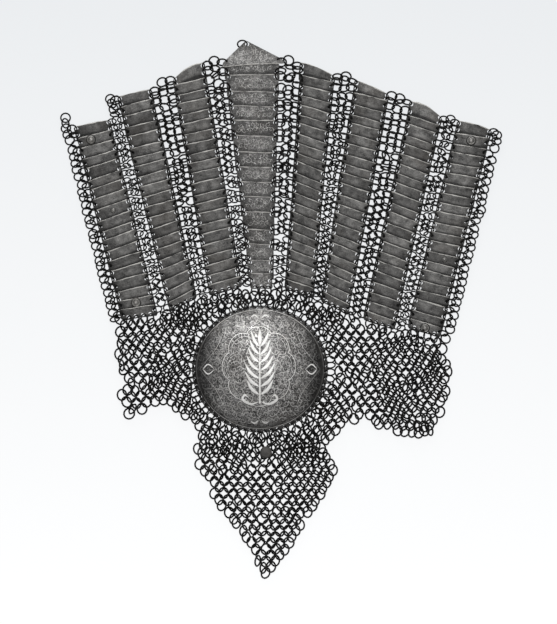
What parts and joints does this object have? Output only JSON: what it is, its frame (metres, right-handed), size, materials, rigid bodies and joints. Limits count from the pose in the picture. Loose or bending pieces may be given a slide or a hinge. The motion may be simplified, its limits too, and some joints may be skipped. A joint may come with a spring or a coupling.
{
  "type": "mail and plate cuisse",
  "caption": "Thigh and knee defence of lapping iron lames in columns joined by riveted mail, with a domed engraved knee plate and a mail skirt with flaps and a pointed tail.",
  "frame": {"origin": "middle of the footprint, on the surface that the cuisse lies on", "axes": "+Y up the thigh to the gable, +X across to the right as seen from outside, +Z out of the outer side"},
  "size_m": [0.4432, 0.5366, 0.0325],
  "materials": {
    "lame_iron": "dark aged iron with worn bright edges",
    "knee_iron": "engraved aged iron with silver inlay",
    "mail_iron": "dark forged iron rings",
    "rivet_iron": "dark aged iron",
    "disc_metal": "flat dark metal"
  },
  "bodies": {
    "root": {"knee_plate": "knee_iron", "lames_left_outer": "lame_iron", "lames_left_middle": "lame_iron", "lames_left_inner": "lame_iron", "lames_centre": "lame_iron", "lames_right_inner": "lame_iron", "lames_right_second": "lame_iron", "lames_right_third": "lame_iron", "lames_right_outer": "lame_iron", "gable_plate": "lame_iron", "mail_strip_1": "mail_iron", "mail_strip_2": "mail_iron", "mail_strip_3": "mail_iron", "mail_strip_4": "mail_iron", "mail_strip_5": "mail_iron", "mail_strip_6": "mail_iron", "mail_strip_7": "mail_iron", "mail_strip_8": "mail_iron", "mail_strip_9": "mail_iron", "mail_skirt": "mail_iron", "apex_ring": "mail_iron", "rivet_left_top": "rivet_iron", "rivet_left_foot": "rivet_iron", "rivet_right_top": "rivet_iron", "rivet_right_foot": "rivet_iron", "pin_left": "rivet_iron", "pin_right": "rivet_iron", "tail_disc": "disc_metal"}
  },
  "joints": []
}
